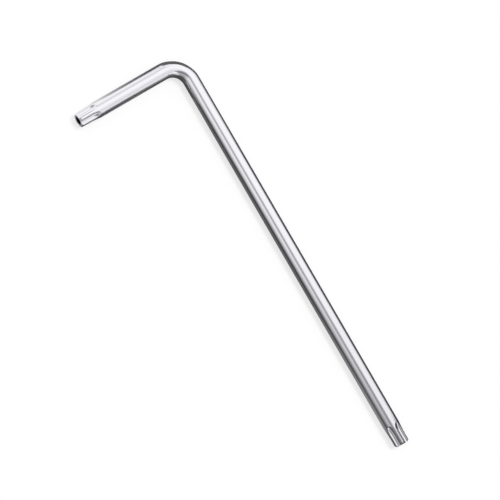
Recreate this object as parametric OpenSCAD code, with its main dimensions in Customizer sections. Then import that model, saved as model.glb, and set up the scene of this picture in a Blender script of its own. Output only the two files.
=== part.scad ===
// Star key: a round steel bar bent to a right angle, with a six-lobe star drive
// and a blind hole for a security pin at both ends.
// It lies flat, with the long arm along +X and the short arm along -Y.
// The origin is at the middle of its footprint, on the surface that it lies on.

/* [Bar] */
// Diameter of the round bar
bar_d = 5.9; // [5.7:0.1:8]
// Length of the long arm, from the back of the bend to the end of its tip
long_arm_len = 156; // [60:1:240]
// Length of the short arm, from the back of the bend to the end of its tip
short_arm_len = 46; // [30:0.1:100]
// Radius of the bend, at the middle of the bar
bend_r = 7.5; // [5:0.1:14]

/* [Star] */
// Diameter over the lobes of the star
star_d = 5.6; // [5.2:0.05:5.7]
// Diameter between the bottoms of opposite flutes
star_root_d = 4.05; // [3.6:0.05:4.2]
// Width of the round land that is left on the crest of each lobe
land_w = 0.7; // [0.5:0.05:1.1]
// Length of the flutes at their full depth
star_len = 4.4; // [3.5:0.1:8]
// How much larger than twice the flute's radius the arc is along which each flute ends
run_out_extra_r = 4; // [1:0.1:6]
// How far before the rise of the flutes the lobes begin to widen
taper_lead = 1.8; // [0.5:0.1:2.8]
// Length over which the lobes widen to the bar
taper_len = 4.6; // [2:0.1:4.8]
// Chamfer on the lobes at the end of the tip
tip_chamfer = 0.5; // [0.1:0.05:0.7]
// Length of plain bar between the flutes and the arm
collar_len = 1.3; // [0.5:0.1:3]
// Turn of the long arm's star, from a lobe straight up towards the outside of the bend
long_star_turn = -12; // [-30:1:30]
// Turn of the short arm's star, from a lobe straight up towards the outside of the bend
short_star_turn = 1; // [-30:1:30]

/* [Security pin hole] */
// Diameter of the hole
pin_hole_d = 2.8; // [1.6:0.1:3]
// Depth of the hole to the end of its straight wall
pin_hole_depth = 4.6; // [2:0.1:7]
// Chamfer around the mouth of the hole
pin_hole_chamfer = 0.15; // [0.05:0.05:0.3]
// Angle of the drill point at the bottom of the hole
drill_point_angle = 118; // [90:1:140]

/* [Hidden] */
$fn = 96;
steel = [0.80, 0.80, 0.82];

lobe_count = 6;
lobe_pitch = 360 / lobe_count;
half_pitch = lobe_pitch / 2;
bar_r = bar_d / 2;
root_r = star_root_d / 2;
hole_r = pin_hole_d / 2;

// How far a cutter reaches past the face that it enters.
cut_past = 1;
// Worked-out radii are rounded to a tenth of a micron, so that neighbouring cuts share their edges.
function fine(value) = round(value * 10000) / 10000;

// A flute's round wall runs from the edge of one land over the flute's bottom to the next land.
star_r = star_d / 2;
land_edge_turn = half_pitch - asin(land_w / star_d);
land_edge_x = star_r * cos(land_edge_turn);
land_edge_y = star_r * sin(land_edge_turn);
land_rise = land_edge_x - root_r;
flute_r = fine((land_rise * land_rise + land_edge_y * land_edge_y) / (2 * land_rise));
flute_c = root_r + flute_r;

// A flute's floor rises to the bar's surface along an arc of this radius.
flute_depth = bar_r - root_r;
run_out_r = 2 * flute_r + run_out_extra_r;
run_out_len = fine(sqrt(2 * run_out_r * flute_depth - flute_depth * flute_depth));
run_out_sweep = 90;

taper_start = star_len - taper_lead;
taper_end = taper_start + taper_len;
tip_len = star_len + run_out_len + collar_len;

// The arms' axes cross at the corner.
corner_x = bar_r - long_arm_len / 2;
corner_y = short_arm_len / 2 - bar_r;
long_straight = long_arm_len - bar_r - bend_r - tip_len;
short_straight = short_arm_len - bar_r - bend_r - tip_len;

module straight_bar(length) {
    cylinder(d = bar_d, h = length);
}

// The cut of one flute along the star.
module flute_cut() {
    translate([flute_c, 0, -cut_past]) cylinder(r = flute_r, h = star_len + cut_past);
}

// The cut of one flute where it rises, from the end of the straight cut.
module run_out_cut() {
    translate([root_r + run_out_r, 0, star_len])
        rotate([90, 0, 0])
        rotate([0, 0, 180])
        rotate_extrude(angle = -run_out_sweep)
        translate([run_out_r - flute_r, 0]) circle(r = flute_r);
}

module pin_hole_cut() {
    point_len = hole_r / tan(drill_point_angle / 2);
    rotate_extrude()
        polygon([
            [0, -cut_past],
            [hole_r + pin_hole_chamfer + cut_past, -cut_past],
            [hole_r, pin_hole_chamfer],
            [hole_r, pin_hole_depth],
            [0, pin_hole_depth + point_len]
        ]);
}

// The chamfered end, the taper behind it and the bar, before the flutes are cut.
module tip_blank() {
    rotate_extrude()
        polygon([
            [0, 0],
            [star_r - tip_chamfer, 0],
            [star_r, tip_chamfer],
            [star_r, taper_start],
            [bar_r, taper_end],
            [bar_r, tip_len],
            [0, tip_len]
        ]);
}

// One end of the key, with the end face at z = 0, the bar towards +z and a lobe towards +x.
module star_tip() {
    difference() {
        difference() {
            tip_blank();
            for (i = [0 : lobe_count - 1])
                rotate(half_pitch + i * lobe_pitch) flute_cut();
            pin_hole_cut();
        }
        for (i = [0 : lobe_count - 1])
            rotate(half_pitch + i * lobe_pitch) run_out_cut();
    }
}

module long_arm() {
    color(steel)
        translate([corner_x + bend_r, corner_y, bar_r])
        rotate([0, 90, 0])
        straight_bar(long_straight);
}

module bend() {
    color(steel)
        translate([corner_x + bend_r, corner_y - bend_r, bar_r])
        rotate([0, 0, 90])
        rotate_extrude(angle = 90)
        translate([bend_r, 0]) circle(d = bar_d);
}

module short_arm() {
    color(steel)
        translate([corner_x, corner_y - bend_r, bar_r])
        rotate([90, 0, 0])
        straight_bar(short_straight);
}

module long_star_tip() {
    color(steel)
        translate([long_arm_len / 2, corner_y, bar_r])
        rotate([0, -90, 0])
        rotate(long_star_turn)
        star_tip();
}

module short_star_tip() {
    color(steel)
        translate([corner_x, -short_arm_len / 2, bar_r])
        rotate([0, 0, -90])
        rotate([0, -90, 0])
        rotate(-short_star_turn)
        star_tip();
}

long_arm();
bend();
short_arm();
long_star_tip();
short_star_tip();
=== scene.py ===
import math

import bmesh
import bpy
from mathutils import Matrix, Vector


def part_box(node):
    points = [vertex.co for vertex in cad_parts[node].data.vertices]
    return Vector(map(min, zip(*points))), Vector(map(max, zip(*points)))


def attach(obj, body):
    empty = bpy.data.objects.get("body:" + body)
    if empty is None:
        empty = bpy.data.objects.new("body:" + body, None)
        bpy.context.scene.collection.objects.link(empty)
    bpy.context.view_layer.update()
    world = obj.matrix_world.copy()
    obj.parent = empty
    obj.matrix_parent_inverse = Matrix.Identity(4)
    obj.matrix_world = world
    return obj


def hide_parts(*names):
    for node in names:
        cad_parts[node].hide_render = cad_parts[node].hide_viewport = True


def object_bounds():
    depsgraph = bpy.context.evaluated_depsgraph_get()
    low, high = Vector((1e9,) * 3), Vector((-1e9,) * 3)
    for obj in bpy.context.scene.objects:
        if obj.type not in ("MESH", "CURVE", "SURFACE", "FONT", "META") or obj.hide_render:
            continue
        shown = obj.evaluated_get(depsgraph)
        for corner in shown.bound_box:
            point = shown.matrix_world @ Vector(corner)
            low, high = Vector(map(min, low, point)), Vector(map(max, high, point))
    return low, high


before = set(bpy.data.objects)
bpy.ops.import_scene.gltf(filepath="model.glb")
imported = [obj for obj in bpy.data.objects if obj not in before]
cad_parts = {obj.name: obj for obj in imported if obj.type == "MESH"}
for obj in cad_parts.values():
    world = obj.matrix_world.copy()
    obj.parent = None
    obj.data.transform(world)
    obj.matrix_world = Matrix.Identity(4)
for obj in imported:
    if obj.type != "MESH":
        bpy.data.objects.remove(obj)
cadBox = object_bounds()
scene = bpy.context.scene
mm = 0.001
print("frame loaded:", ", ".join(sorted(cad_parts)))


# The key as a straight bar: s runs from the short tip's end to the long tip's end,
# p points out of the bend and q points up. bendBar puts such a point where the bent bar has it.
lowCorner, highCorner = cadBox
barRadius = (highCorner.z - lowCorner.z) / 2
axisUp = lowCorner.z + barRadius
longAxisY = highCorner.y - barRadius
shortAxisX = lowCorner.x + barRadius
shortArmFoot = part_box("short_arm")[0].y
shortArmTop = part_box("short_arm")[1].y
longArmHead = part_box("long_arm")[1].x
bendRadius = longAxisY - shortArmTop
bendCentre = Vector((shortAxisX + bendRadius, shortArmTop, axisUp))

shortTipSeam = shortArmFoot - lowCorner.y
bendStart = shortArmTop - lowCorner.y
bendEnd = bendStart + bendRadius * math.pi / 2
longTipSeam = bendEnd + longArmHead - bendCentre.x
barLength = bendEnd + highCorner.x - bendCentre.x


def bendBar(s, p, q):
    if s <= bendStart:
        return Vector((shortAxisX - p, lowCorner.y + s, axisUp + q))
    if s >= bendEnd:
        return Vector((bendCentre.x + s - bendEnd, longAxisY + p, axisUp + q))
    turn = (s - bendStart) / bendRadius
    reach = bendRadius + p
    return bendCentre + Vector((-reach * math.cos(turn), reach * math.sin(turn), q))


def smoothStep(x):
    x = min(1, max(0, x))
    return x * x * (3 - 2 * x)


def softMin(a, b, width):
    share = max(0, width - abs(a - b)) / width
    return min(a, b) - share * share * width / 4


def spaced(start, end, count):                  # without the end itself
    return [start + (end - start) * i / count for i in range(count)]


# One skin of rings: each ring holds (s, p, q, bore, flute) points, all rings with as many points; the bore
# value is the share of painted shade in the hole.
def makePiece(name, node, rings, material, endFlat=True):
    bm = bmesh.new()
    straightMark = bm.verts.layers.float_vector.new("straightBar")
    shadedBoreMark = bm.verts.layers.float.new("bore")
    fluteMark = bm.verts.layers.float.new("flute")

    def addVert(s, p, q, bore, flute):
        vert = bm.verts.new(bendBar(s, p, q))
        vert[straightMark] = Vector((s, p, q)) / mm
        vert[shadedBoreMark] = bore
        vert[fluteMark] = flute
        return vert

    rows = [[addVert(*point) for point in ring] for ring in rings]
    count = len(rows[0])
    for first, second in zip(rows, rows[1:]):
        for i in range(count):
            j = (i + 1) % count
            bm.faces.new((first[i], first[j], second[j], second[i]))
    for row in [rows[0], rows[-1]] if endFlat else [rows[0]]:
        bm.faces.new(row)
        for i in range(count):
            bm.edges.get((row[i], row[(i + 1) % count])).smooth = False
    if not endFlat:                             # the drill point closes on its tip
        middle = sum((v.co for v in rows[-1]), Vector()) / count
        bmesh.ops.pointmerge(bm, verts=rows[-1], merge_co=middle)
    for face in bm.faces:
        face.smooth = True
    bmesh.ops.recalc_face_normals(bm, faces=bm.faces)
    mesh = bpy.data.meshes.new(name)
    bm.to_mesh(mesh)
    bm.free()
    piece = bpy.data.objects.new(name, mesh)
    scene.collection.objects.link(piece)
    mesh.materials.append(material)
    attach(piece, "root")
    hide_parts(node)
    print("piece:", name, len(mesh.polygons), "faces")


# Shader maths: a Wire is a socket in a node tree, and an expression on wires adds Math nodes.
class Wire:
    def __init__(self, tree, socket):
        self.tree = tree
        self.socket = socket

    def combine(self, operation, left, right):
        return addNode(self.tree, "ShaderNodeMath", {"operation": operation}, {0: left, 1: right})

    def __add__(self, other):
        return self.combine("ADD", self, other)

    __radd__ = __add__

    def __sub__(self, other):
        return self.combine("SUBTRACT", self, other)

    def __rsub__(self, other):
        return self.combine("SUBTRACT", other, self)

    def __mul__(self, other):
        return self.combine("MULTIPLY", self, other)

    __rmul__ = __mul__

    def __truediv__(self, other):
        return self.combine("DIVIDE", self, other)

    def __rtruediv__(self, other):
        return self.combine("DIVIDE", other, self)


def addNode(tree, kind, settings=None, sockets=None, out=0):
    node = tree.nodes.new(kind)
    for key, value in (settings or {}).items():
        if key == "stops":
            ramp = node.color_ramp
            while len(ramp.elements) < len(value):
                ramp.elements.new(0.5)
            for element, (place, tone) in zip(ramp.elements, value):
                element.position = place
                element.color = (tone, tone, tone, 1)
        else:
            setattr(node, key, value)
    for key, value in (sockets or {}).items():
        if isinstance(value, Wire):
            tree.links.new(value.socket, node.inputs[key])
        else:
            node.inputs[key].default_value = value
    return Wire(tree, node.outputs[out]) if node.outputs else None


def newTree(owner):
    owner.use_nodes = True
    owner.node_tree.nodes.clear()
    return owner.node_tree


# The marks are noise on the straight bar in mm, stretched along and across it.
steelLook = {
    "pale": (0.957, 0.953, 1.0, 1),
    "dull": (0.912, 0.908, 0.956, 1),
    "speck": (0.6, 0.6, 0.61, 1),
    # painted shade: the near-black colour of the hole's inside, which stands in for the shade in the recess
    "bore": (0.012, 0.012, 0.013, 1),
    "edgeTint": (0.55, 0.55, 0.57, 1),      # how much metal reflects at a grazing angle
    "lines": {"stretch": (0.03, 3.0, 3.0), "scale": 2.2, "detail": 5.0, "sharpness": 0.6},
    "cloud": {"stretch": (1, 1, 1), "scale": 0.18, "detail": 3.0, "sharpness": 0.5},
    "scuffs": {"stretch": (0.35, 5.0, 2.2), "scale": 1.7, "detail": 3.0, "sharpness": 0.5},
    "specks": {"stretch": (1, 1, 1), "scale": 3.4, "detail": 1.0, "sharpness": 0.5},
    "grind": {"stretch": (0.2, 9.0, 9.0), "scale": 2.0, "detail": 3.0, "sharpness": 0.5},
    "rings": {"scale": 9.0, "detail": 3.0},
    "scuffRange": (0.62, 0.72),             # only the noise's peaks are hairlines and specks
    "speckRange": (0.74, 0.8),
    "endRange": (0.05, 0.02),               # mm from the end where the rings begin and are full
    "lineShare": 0.6,                       # what the lines have in the tone, and the cloud the rest
    "speckShare": 0.5,
    "roughness": 0.17,
    "lineRoughness": 0.08,
    "cloudRoughness": 0.08,
    "scuffRoughness": 0.09,
    "boreRoughness": 0.4,
    "fluteRoughness": -0.05,                # the flutes are a little brighter than the drawn bar
    "grindRoughness": 0.1,
    "ringRoughness": 0.14,
    "grindHeight": 0.5,
    "bumpStrength": 0.05,
    "bumpDistance": 0.02 * mm,
}


def platedSteel(name, look, tip):
    material = bpy.data.materials.new(name)
    tree = newTree(material)
    along = addNode(tree, "ShaderNodeAttribute", {"attribute_name": "straightBar"}, out="Vector")

    def stretched(stretch):
        return addNode(tree, "ShaderNodeVectorMath", {"operation": "MULTIPLY"}, {0: along, 1: stretch})

    def noise(mark):
        return addNode(tree, "ShaderNodeTexNoise", None, {
            "Vector": stretched(mark["stretch"]),
            "Scale": mark["scale"],
            "Detail": mark["detail"],
            "Roughness": mark["sharpness"],
        })

    def between(value, low, high):
        sockets = {"Value": value, "From Min": low, "From Max": high}
        return addNode(tree, "ShaderNodeMapRange", None, sockets)

    def mixColour(share, first, second):
        sockets = {0: share, 6: first, 7: second}
        return addNode(tree, "ShaderNodeMix", {"data_type": "RGBA"}, sockets, out=2)

    lines = noise(look["lines"])                                    # drawn along the bar
    cloud = noise(look["cloud"])
    scuffs = between(noise(look["scuffs"]), *look["scuffRange"])    # short hairlines
    specks = between(noise(look["specks"]), *look["speckRange"])    # pin-head pits in the plating
    tone = lines * look["lineShare"] + cloud * (1 - look["lineShare"])
    base = mixColour(tone, look["dull"], look["pale"])
    base = mixColour(specks * look["speckShare"], base, look["speck"])
    rough = look["roughness"] + (lines - 0.5) * look["lineRoughness"]
    rough = rough + (cloud - 0.5) * look["cloudRoughness"] + scuffs * look["scuffRoughness"]
    height = lines
    if tip:
        bore = addNode(tree, "ShaderNodeAttribute", {"attribute_name": "bore"}, out="Fac")
        flute = addNode(tree, "ShaderNodeAttribute", {"attribute_name": "flute"}, out="Fac")
        grind = noise(look["grind"]) - 0.5                          # the wheel's marks along the flutes
        s = addNode(tree, "ShaderNodeSeparateXYZ", None, {0: along}, 0)
        half = barLength / 2 / mm
        fromMiddle = addNode(tree, "ShaderNodeMath", {"operation": "ABSOLUTE"}, {0: s - half})
        end = between(fromMiddle, *[half - depth for depth in look["endRange"]])
        radius = addNode(tree, "ShaderNodeVectorMath", {"operation": "LENGTH"},
                         {0: stretched((0, 1, 1))}, "Value")
        rings = addNode(tree, "ShaderNodeTexNoise", {"noise_dimensions": "1D"}, {
            "W": radius,
            "Scale": look["rings"]["scale"],
            "Detail": look["rings"]["detail"],
        })                                                          # turned on the end face
        # painted shade: the hole's inside and chamfer are mixed towards near-black; the extra roughness
        # below is the drilled bore's own finish
        base = mixColour(bore, base, look["bore"])
        rough = rough + bore * look["boreRoughness"]
        rough = rough + flute * (look["fluteRoughness"] + grind * look["grindRoughness"])
        rough = rough + end * rings * look["ringRoughness"]
        height = lines + (rings - lines) * end + grind * flute * look["grindHeight"]
    bump = addNode(tree, "ShaderNodeBump", None, {
        "Strength": look["bumpStrength"],
        "Distance": look["bumpDistance"],
        "Height": height,
    })
    shader = addNode(tree, "ShaderNodeBsdfPrincipled", None, {
        "Base Color": base,
        "Metallic": 1.0,
        "Roughness": rough,
        "Specular Tint": look["edgeTint"],
        "Normal": bump,
    })
    addNode(tree, "ShaderNodeOutputMaterial", None, {"Surface": shader})
    return material


barSteel = platedSteel("bar_steel", steelLook, tip=False)
tipSteel = platedSteel("tip_steel", steelLook, tip=True)
print("materials: bar and tip steel")


bar = {
    "columns": 144,
    "ringGap": 2.5 * mm,
    "bendRings": 40,
    "bendFlat": 0.07,       # the outside of the bend is drawn in by this share of the radius
    "bendEase": 0.3,        # share of the bend over which that comes and goes
}


def barRing(s):
    bent = (s - bendStart) / (bendEnd - bendStart)
    drawnIn = bar["bendFlat"] * smoothStep(min(bent, 1 - bent) / bar["bendEase"])
    ring = []
    for i in range(bar["columns"]):
        angle = 2 * math.pi * i / bar["columns"]
        p = barRadius * math.sin(angle)
        if p > 0:
            p = p * (1 - drawnIn)
        ring.append((s, p, barRadius * math.cos(angle), 0, 0))
    return ring


def barRings(start, end, count):
    return [barRing(s) for s in spaced(start, end, count) + [end]]


def armRings(start, end):
    return barRings(start, end, math.ceil((end - start) / bar["ringGap"]))


makePiece("long_arm_bar", "long_arm", armRings(bendEnd, longTipSeam), barSteel)
makePiece("bend_bar", "bend", barRings(bendStart, bendEnd, bar["bendRings"]), barSteel)
makePiece("short_arm_bar", "short_arm", armRings(shortTipSeam, bendStart), barSteel)


star = {
    "lobes": 6,
    "crest": 2.8 * mm,            # radius over the lobes
    "root": 2.025 * mm,           # radius at the bottom of the flutes
    "land": 0.7 * mm,             # width of the round land on each lobe
    "fullDepth": 4.4 * mm,        # from the end, where the flutes begin to rise
    "riseExtra": 4.0 * mm,        # what the arc of the rise has over twice the flute's radius
    "taperStart": 2.6 * mm,
    "taper": 4.6 * mm,
    "chamfer": 0.5 * mm,
    "edge": 0.08 * mm,            # small rounding of the end's edges
    "rim": 0.05 * mm,             # how far the rounding of a flute's rim reaches
    "rimShare": 0.4,              # and how much of a flute's wall at most
    "fluteMark": 0.4 * mm,        # depth at which the flute's finish is full
    "hole": 1.4 * mm,
    "holeChamfer": 0.15 * mm,
    "holeDepth": 4.6 * mm,
    "drillPoint": math.radians(118),
    "mouthEdge": 0.03 * mm,       # the hole's chamfer takes painted shade from this far in
    # share of painted shade on that ring, which is full from the chamfer's foot inwards
    "mouthDark": 0.7,
    "darkFrom": 0.3 * mm,
    "longTurn": math.radians(-12),    # from a lobe straight up, towards the outside of the bend
    "shortTurn": math.radians(1),
    "cornerSteps": 40,            # halvings that find where a flute's wall meets the land
    "wallColumns": 10,
    "rimColumns": 4,
    "landColumns": 6,
    "plainRings": 10,
    "lastPlain": 0.01,            # share of the plain bar in its last ring, which keeps its shading flat
    "riseRings": 36,
    "starRings": 8,
    "chamferRings": 10,
    "edgeRings": 3,
    "faceRings": 6,
    "holeRings": 8,
    "pointShares": (0.5, 0.9, 0.98),
}
lobeTurn = 2 * math.pi / star["lobes"]
landTurn = lobeTurn / 2 - math.asin(star["land"] / 2 / star["crest"])
landRise = star["crest"] * math.cos(landTurn) - star["root"]
landSide = star["crest"] * math.sin(landTurn)
fluteRadius = (landRise ** 2 + landSide ** 2) / (2 * landRise)
fluteDepth = barRadius - star["root"]
riseRadius = 2 * fluteRadius + star["riseExtra"]
riseLength = math.sqrt(2 * riseRadius * fluteDepth - fluteDepth ** 2)
riseEnd = star["fullDepth"] + riseLength


def blankRadius(z):
    # the tip before its flutes, z from its end
    widen = min(1, max(0, (z - star["taperStart"]) / star["taper"]))
    around = star["crest"] + (barRadius - star["crest"]) * widen
    return softMin(around, star["crest"] - star["chamfer"] + z, star["edge"])


def fluteWall(t, z):
    # the flute's wall t radians up from its bottom, as (sideways, out from the bar's axis)
    lift = max(0, z - star["fullDepth"])
    depth = riseRadius - fluteRadius * (1 - math.cos(t))
    drop = math.sqrt(max(0, depth ** 2 - lift ** 2))
    return Vector((fluteRadius * math.sin(t), star["root"] + riseRadius - drop))


def onCircle(angle, radius):
    return Vector((math.sin(angle), math.cos(angle))) * radius


def starOutline(z):
    # from the middle of a flute over its rounded rim to the middle of a lobe, as (angle, radius)
    radius = blankRadius(z)
    low, high = 0, math.pi / 2
    for _ in range(star["cornerSteps"]):
        t = (low + high) / 2
        if fluteWall(t, z).length < radius:
            low = t
        else:
            high = t
    corner = fluteWall(low, z)
    reach = min(star["rim"], star["rimShare"] * low * fluteRadius)
    wallEnd = low - reach / fluteRadius
    landStart = math.atan2(corner.x, corner.y) + reach / radius
    points = [fluteWall(t, z) for t in spaced(0, wallEnd, star["wallColumns"])]
    first, last = fluteWall(wallEnd, z), onCircle(landStart, radius)
    for u in spaced(0, 1, star["rimColumns"]):
        points.append(first * (1 - u) ** 2 + corner * 2 * u * (1 - u) + last * u ** 2)
    points += [onCircle(a, radius) for a in spaced(landStart, lobeTurn / 2, star["landColumns"])]
    points.append(onCircle(lobeTurn / 2, radius))
    return [(math.atan2(point.x, point.y), point.length) for point in points]


def roundOutline(radius):
    columns = star["wallColumns"] + star["rimColumns"] + star["landColumns"]
    return [(lobeTurn / 2 * i / columns, radius) for i in range(columns + 1)]


def mixOutline(first, second, share):
    return [(a + (b - a) * share, r + (t - r) * share) for (a, r), (b, t) in zip(first, second)]


def tipRings(place, turn):
    # from the seam over the star and its end face into the hole
    def ring(z, half, bore=0):
        points = []
        for k in range(star["lobes"]):
            middle = lobeTurn * (k + 0.5) + turn
            lobe = [(middle + a, r) for a, r in half[:-1]]
            lobe += [(middle + lobeTurn - a, r) for a, r in reversed(half[1:])]
            for a, r in lobe:
                flute = smoothStep((blankRadius(z) - r) / star["fluteMark"]) * (1 - bore)
                points.append((place(z), r * math.sin(a), r * math.cos(a), bore, flute))
        return points

    riseShares = [i / star["riseRings"] for i in range(1, star["riseRings"])]
    rise = [riseEnd - riseLength * share ** 2 for share in riseShares]
    narrow = [(a, barRadius) for a, _ in starOutline(rise[0])]
    rings = []
    for share in spaced(1, 0, star["plainRings"]) + [star["lastPlain"], 0]:
        z = riseEnd + (shortTipSeam - riseEnd) * share          # columns draw together at the flutes
        rings.append(ring(z, mixOutline(narrow, roundOutline(barRadius), smoothStep(share))))
    outside = rise + spaced(star["fullDepth"], 2 * star["chamfer"], star["starRings"])
    outside += spaced(2 * star["chamfer"], star["edge"], star["chamferRings"])
    rings += [ring(z, starOutline(z)) for z in outside]

    rim = starOutline(0)
    for roll in spaced(0, math.pi / 2, star["edgeRings"]):      # rounded edge of the end face
        z = star["edge"] * (1 - math.sin(roll))
        rings.append(ring(z, [(a, r - star["edge"] * (1 - math.cos(roll))) for a, r in rim]))
    face = [(a, r - star["edge"]) for a, r in rim]
    mouthRadius = star["hole"] + star["holeChamfer"]
    for share in spaced(0, 1, star["faceRings"]) + [1]:
        rings.append(ring(0, mixOutline(face, roundOutline(mouthRadius), share)))

    edge = star["mouthEdge"]
    # painted shade: from the chamfer into the hole and its drill point the colour turns near-black
    rings.append(ring(edge, roundOutline(mouthRadius - edge), star["mouthDark"]))
    straight = spaced(star["darkFrom"], star["holeDepth"], star["holeRings"]) + [star["holeDepth"]]
    for z in [star["holeChamfer"]] + straight:
        rings.append(ring(z, roundOutline(star["hole"]), 1))
    pointLength = star["hole"] / math.tan(star["drillPoint"] / 2)
    for share in star["pointShares"]:
        z = star["holeDepth"] + pointLength * share
        rings.append(ring(z, roundOutline(star["hole"] * (1 - share)), 1))
    return rings


longRings = tipRings(lambda z: barLength - z, star["longTurn"])
makePiece("long_tip_star", "long_star_tip", longRings, tipSteel, endFlat=False)
shortRings = tipRings(lambda z: z, star["shortTurn"])
makePiece("short_tip_star", "short_star_tip", shortRings, tipSteel, endFlat=False)


view = {
    "tilt": math.radians(19.48),            # the camera leans this far from straight above
    "tiltTurn": math.radians(5.95),         # the lean is towards the short tip, turned this far to the bend
    "longArmSlope": math.radians(59.875),   # how far the long arm runs below the level in the picture
    "frameWidth": 172.56 * mm,
    "lens": 400,
    "sensor": 36,
    "aim": Vector((-6.77, 7.45, 2.95)) * mm,
}


def addCamera():
    data = bpy.data.cameras.new("camera")
    data.lens = view["lens"]
    data.sensor_width = view["sensor"]
    data.dof.use_dof = False
    camera = bpy.data.objects.new("camera", data)
    scene.collection.objects.link(camera)
    lean, turn = math.sin(view["tilt"]), view["tiltTurn"]
    back = Vector((-lean * math.sin(turn), -lean * math.cos(turn), math.cos(view["tilt"])))
    alongX = (Vector((1, 0, 0)) - back * back.x).normalized()
    alongY = back.cross(alongX)
    c, s = math.cos(view["longArmSlope"]), math.sin(view["longArmSlope"])
    right = alongX * c + alongY * s
    up = alongY * c - alongX * s
    axes = Matrix((right, up, back)).transposed().to_4x4()
    distance = view["frameWidth"] * view["lens"] / view["sensor"]
    camera.matrix_world = Matrix.Translation(view["aim"] + back * distance) @ axes
    scene.camera = camera
    print("camera:", round(distance, 3), "m away")


addCamera()


studio = {
    "floorSize": 30.0,
    "floorTone": (0.97, 0.97, 0.97, 1),
    "white": (1, 1, 1, 1),
    "floorShare": 0.3,           # share of the floor's look that light and shadow make
    "ambient": 0.55,
    "sunStrength": 1.7,
    "sunSpread": math.radians(20),
    "sunHeight": math.radians(73.5),
}


def addSheet(name, corners, material):
    mesh = bpy.data.meshes.new(name)
    mesh.from_pydata(corners, [], [(0, 1, 2, 3)])
    mesh.materials.append(material)
    sheet = bpy.data.objects.new(name, mesh)
    scene.collection.objects.link(sheet)
    return sheet


def seenDirectly(tree):
    camera = addNode(tree, "ShaderNodeLightPath", out="Is Camera Ray")
    glossy = addNode(tree, "ShaderNodeLightPath", out="Is Glossy Ray")
    passed = addNode(tree, "ShaderNodeLightPath", out="Is Transmission Ray")
    seen = camera + glossy + passed
    return addNode(tree, "ShaderNodeMath", {"operation": "MINIMUM"}, {0: seen, 1: 1.0})


def addFloor():
    material = bpy.data.materials.new("floor_paper")
    tree = newTree(material)
    paper = addNode(tree, "ShaderNodeBsdfDiffuse", None, {"Color": studio["floorTone"]})
    white = addNode(tree, "ShaderNodeEmission", None, {"Color": studio["white"], "Strength": 1.0})
    lifted = seenDirectly(tree) * (1 - studio["floorShare"])
    surface = addNode(tree, "ShaderNodeMixShader", None, {0: lifted, 1: paper, 2: white})
    addNode(tree, "ShaderNodeOutputMaterial", None, {"Surface": surface})
    half = studio["floorSize"] / 2
    corners = [(-half, -half, 0), (half, -half, 0), (half, half, 0), (-half, half, 0)]
    addSheet("floor", corners, material).location.z = lowCorner.z


def addRoom():
    world = bpy.data.worlds.new("studio")
    scene.world = world
    tree = newTree(world)
    room = addNode(tree, "ShaderNodeBackground", None,
                   {"Color": studio["white"], "Strength": studio["ambient"]})
    white = addNode(tree, "ShaderNodeBackground", None, {"Color": studio["white"], "Strength": 1.0})
    surface = addNode(tree, "ShaderNodeMixShader", None, {0: seenDirectly(tree), 1: room, 2: white})
    addNode(tree, "ShaderNodeOutputWorld", None, {"Surface": surface})

    data = bpy.data.lights.new("key_light", "SUN")
    data.energy = studio["sunStrength"]
    data.angle = studio["sunSpread"]
    sun = bpy.data.objects.new("key_light", data)
    scene.collection.objects.link(sun)
    towards = Vector((0, -math.cos(studio["sunHeight"]), -math.sin(studio["sunHeight"])))
    sun.rotation_euler = towards.to_track_quat("-Z", "Y").to_euler()
    sun.visible_glossy = False


addFloor()
addRoom()
print("stage: floor, room and key light")


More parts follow.
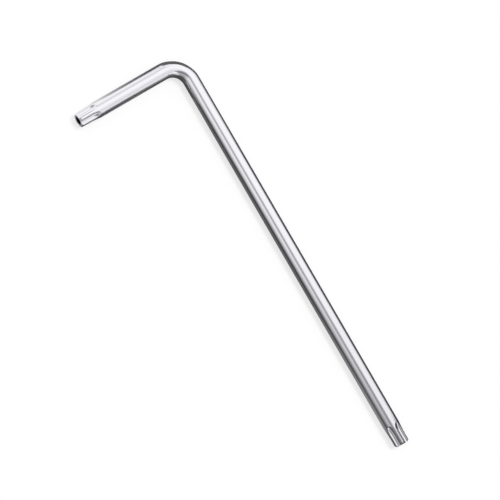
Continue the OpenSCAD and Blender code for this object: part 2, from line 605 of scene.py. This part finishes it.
# Cards that only the steel sees, as in a product studio: dark ones give the bar its lines and edges.
# The stops run from the card's first edge to the opposite one, and "alongX" dims it at places in mm.
cards = {
    "near_mat": {
        "corners": [(-62, -260, 0.1), (400, -260, 0.1), (400, 22, 0.1), (-62, 22, 0.1)],
        "stops": [(0, 0.1), (0.94, 0.108), (0.955, 0.17), (0.965, 0.25), (0.98, 0.31), (1, 0.32)],
        "alongX": [(20, 0.5), (62, 1), (71, 1), (75, 0.5)],
    },
    "far_mat": {
        "corners": [(-62, 22, 0.1), (400, 22, 0.1), (400, 300, 0.1), (-62, 300, 0.1)],
        "stops": [(0, 0.07), (1, 0.07)],
        "alongX": [(60, 1), (74, 0.4)],
    },
    "short_arm_mat": {
        "corners": [(-75, -30, 0.1), (-62, -30, 0.1), (-62, 300, 0.1), (-75, 300, 0.1)],
        "stops": [(0, 0.04), (0.035, 0.06), (0.055, 0.13), (0.075, 0.17),
                  (0.1, 0.17), (0.12, 0.07), (1, 0.06)],
    },
    "end_mat": {
        "corners": [(-80, -34, 0.15), (-69, -34, 0.15), (-69, -23.2, 0.15), (-80, -23.2, 0.15)],
        "stops": [(0, 0.5), (0.7, 0.42), (1, 0.3)],
    },
    "outer_mat": {
        "corners": [(-75, -40, 0.1), (-260, 27, 0.1), (-260, 357, 0.1), (-75, 290, 0.1)],
        "stops": [(0, 0.95), (0.075, 0.85), (0.09, 0.5), (0.11, 0.26), (0.14, 0.12), (1, 0.1)],
    },
    "graded_card": {
        "corners": [(-800, -260, 0), (800, -260, 0), (800, -260, 600), (-800, -260, 600)],
        "stops": [(0, 0.08), (0.025, 0.13), (0.122, 0.37), (0.262, 0.65),
                  (0.443, 0.9), (0.58, 0.9), (0.72, 0.8), (1, 0.64)],
        "alongX": [(0, 1), (60, 0.7), (86, 0.68), (98, 0.5)],
    },
    "bright_card": {
        "corners": [(-1500, 900, 0), (1500, 900, 0), (1500, 150, 1500), (-1500, 150, 1500)],
        "stops": [(0, 0.5), (0.1, 0.64), (0.15, 0.76), (0.2, 0.88), (0.3, 1), (1, 1)],
        "alongX": [(20, 1), (130, 0.88)],
    },
    "back_card": {
        "corners": [(-40, 300, 0), (400, 300, 0), (400, 300, 75), (-40, 300, 75)],
        "stops": [(0, 0.1), (0.4, 0.16), (1, 0.9)],
    },
    "corner_card": {
        "corners": [(-340, 115, 0), (-180, 330, 0), (-180, 330, 120), (-340, 115, 120)],
        "stops": [(0, 0.05), (0.6, 0.07), (1, 0.7)],
    },
    "tip_card": {
        "corners": [(73.3, 60, 0), (130, 60, 0), (130, 60, 45), (73.3, 60, 45)],
        "stops": [(0, 0.02), (0.45, 0.03), (0.7, 0.25), (1, 0.5)],
    },
    "run_out_card": {
        "corners": [(90, 58, 0), (140, 58, 0), (140, 58, 62), (90, 58, 62)],
        "stops": [(0, 0.02), (0.7, 0.03), (1, 0.4)],
    },
    "side_card": {
        "corners": [(400, -260, 0), (400, 300, 0), (400, 300, 250), (400, -260, 250)],
        "stops": [(0, 0.12), (0.2, 0.45), (0.45, 0.74), (0.88, 0.83), (1, 0.85)],
    },
    "end_card": {
        "corners": [(120, -30, 0), (120, 45, 0), (120, 45, 30), (120, -30, 30)],
        "stops": [(0, 0.07), (0.6, 0.1), (1, 0.25)],
    },
    "top_strip": {
        "corners": [(-1500, -813, 1400), (1500, -813, 1400), (1500, 87, 1400), (-1500, 87, 1400)],
        "stops": [(0, 0.64), (0.2, 0.39), (0.45, 0.34), (0.65, 0.55), (0.85, 0.8), (1, 0.93)],
        "alongX": [(90, 1), (175, 0.45)],
    },
    "left_strip": {
        "corners": [(-1300, 500, 700), (-1300, 0, 700), (-350, 0, 700), (-350, 500, 700)],
        "stops": [(0, 0.95), (0.4, 0.72), (0.7, 0.7), (1, 0.95)],
    },
    "right_strip": {
        "corners": [(150, 500, 700), (150, 0, 700), (1500, 0, 700), (1500, 500, 700)],
        "stops": [(0, 0.95), (0.15, 0.74), (0.4, 0.76), (1, 0.8)],
    },
}


def addCard(name, card):
    material = bpy.data.materials.new(name)
    tree = newTree(material)
    place = addNode(tree, "ShaderNodeTexCoord", out="UV")
    across = addNode(tree, "ShaderNodeSeparateXYZ", None, {0: place}, 1)
    tone = addNode(tree, "ShaderNodeValToRGB", {"stops": card["stops"]}, {0: across})
    if "alongX" in card:
        start, end = card["alongX"][0][0], card["alongX"][-1][0]
        place = addNode(tree, "ShaderNodeTexCoord", out="Object")
        x = addNode(tree, "ShaderNodeSeparateXYZ", None, {0: place}, 0)
        stops = [((stop - start) / (end - start), share) for stop, share in card["alongX"]]
        fromStart = (x / mm - start) / (end - start)
        dimmed = addNode(tree, "ShaderNodeValToRGB", {"stops": stops}, {0: fromStart})
        tone = addNode(tree, "ShaderNodeMix", {"data_type": "RGBA", "blend_type": "MULTIPLY"},
                       {0: 1.0, 6: tone, 7: dimmed}, 2)
    glow = addNode(tree, "ShaderNodeEmission", None, {"Color": tone, "Strength": 1.0})
    addNode(tree, "ShaderNodeOutputMaterial", None, {"Surface": glow})
    sheet = addSheet(name, [Vector(c) * mm for c in card["corners"]], material)
    corners = sheet.data.uv_layers.new(name="card")
    for corner, uv in zip(corners.data, [(0, 0), (1, 0), (1, 1), (0, 1)]):
        corner.uv = uv
    sheet.visible_camera = False
    sheet.visible_diffuse = False
    sheet.visible_shadow = False
    sheet.visible_transmission = False


for name, card in cards.items():
    addCard(name, card)
print("cards:", ", ".join(cards))
scene.view_settings.view_transform = "Standard"
